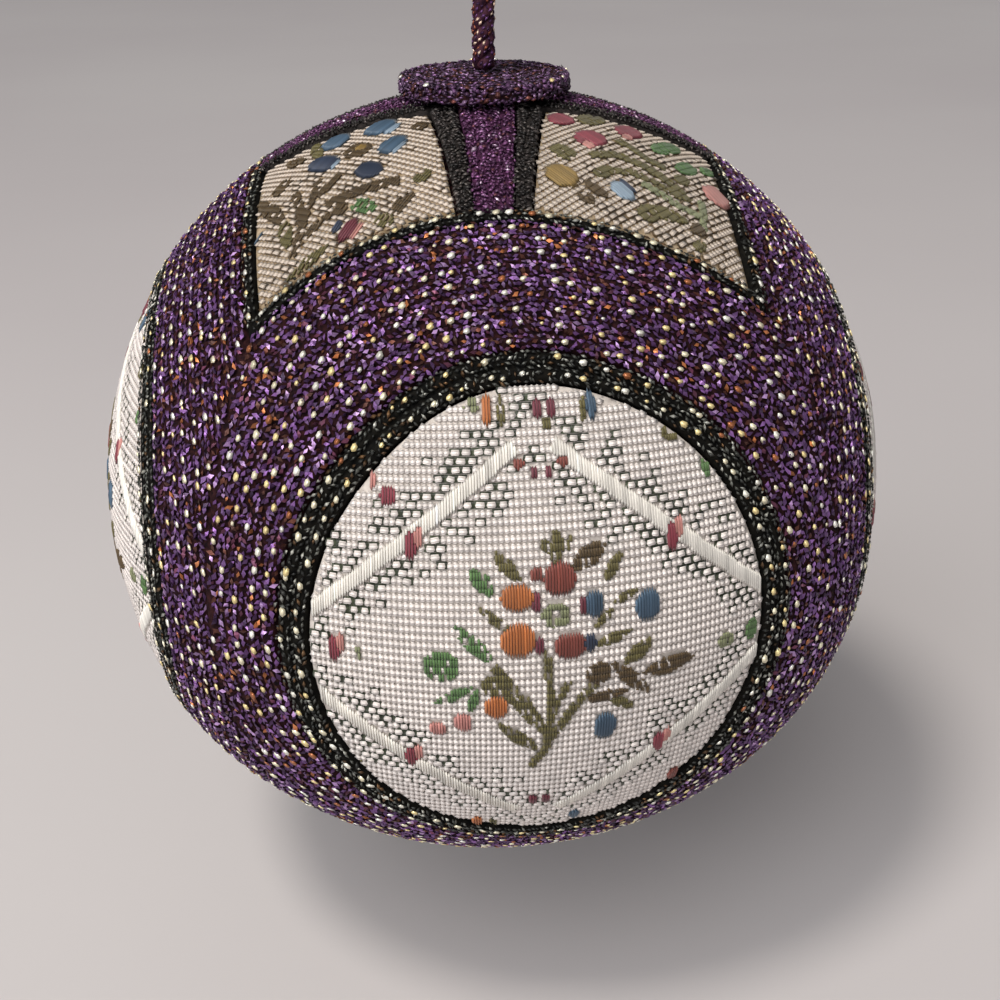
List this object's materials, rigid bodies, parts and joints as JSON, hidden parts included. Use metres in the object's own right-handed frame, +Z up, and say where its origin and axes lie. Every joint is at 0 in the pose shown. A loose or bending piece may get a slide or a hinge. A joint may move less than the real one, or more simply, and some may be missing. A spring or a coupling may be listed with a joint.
{
  "type": "temari ball ornament with hanging cord",
  "caption": "Ball ornament of brocade roundels and panels framed by rows of metallic braid, with a coiled cap and a twisted hanging cord tied in a loop.",
  "frame": {"origin": "inside top of the cord's loop, where a hook holds it", "axes": "+Z up along the cord, the front roundel faces -Y, +X to the right"},
  "size_m": [0.0794, 0.0794, 0.1115],
  "materials": {
    "purple_braid": "purple and gold metallic braid, glued down in rows, with glinting gold stitches",
    "dark_braid": "near-black bottle green braid with a few gold stitches",
    "brocade": "ivory ribbed brocade with small woven flowers in rust, orange, blue, green and pink",
    "purple_cord": "twisted purple and copper metallic cord"
  },
  "bodies": {
    "root": {"wound_ball": "purple_braid", "roundel_1": "brocade", "dark_ring_1": "dark_braid", "roundel_2": "brocade", "dark_ring_2": "dark_braid", "roundel_3": "brocade", "dark_ring_3": "dark_braid", "roundel_4": "brocade", "dark_ring_4": "dark_braid", "upper_cap": "purple_braid", "upper_outer_row_1": "dark_braid", "upper_panel_1": "brocade", "upper_strip_1": "purple_braid", "upper_strip_edge_left_1": "dark_braid", "upper_strip_edge_right_1": "dark_braid", "upper_outer_row_2": "dark_braid", "upper_panel_2": "brocade", "upper_strip_2": "purple_braid", "upper_strip_edge_left_2": "dark_braid", "upper_strip_edge_right_2": "dark_braid", "upper_outer_row_3": "dark_braid", "upper_panel_3": "brocade", "upper_strip_3": "purple_braid", "upper_strip_edge_left_3": "dark_braid", "upper_strip_edge_right_3": "dark_braid", "upper_outer_row_4": "dark_braid", "upper_panel_4": "brocade", "upper_strip_4": "purple_braid", "upper_strip_edge_left_4": "dark_braid", "upper_strip_edge_right_4": "dark_braid", "lower_cap": "purple_braid", "lower_outer_row_1": "dark_braid", "lower_panel_1": "brocade", "lower_strip_1": "purple_braid", "lower_strip_edge_left_1": "dark_braid", "lower_strip_edge_right_1": "dark_braid", "lower_outer_row_2": "dark_braid", "lower_panel_2": "brocade", "lower_strip_2": "purple_braid", "lower_strip_edge_left_2": "dark_braid", "lower_strip_edge_right_2": "dark_braid", "lower_outer_row_3": "dark_braid", "lower_panel_3": "brocade", "lower_strip_3": "purple_braid", "lower_strip_edge_left_3": "dark_braid", "lower_strip_edge_right_3": "dark_braid", "lower_outer_row_4": "dark_braid", "lower_panel_4": "brocade", "lower_strip_4": "purple_braid", "lower_strip_edge_left_4": "dark_braid", "lower_strip_edge_right_4": "dark_braid", "hang_cord": "purple_cord", "cord_knot": "purple_cord"}
  },
  "joints": []
}
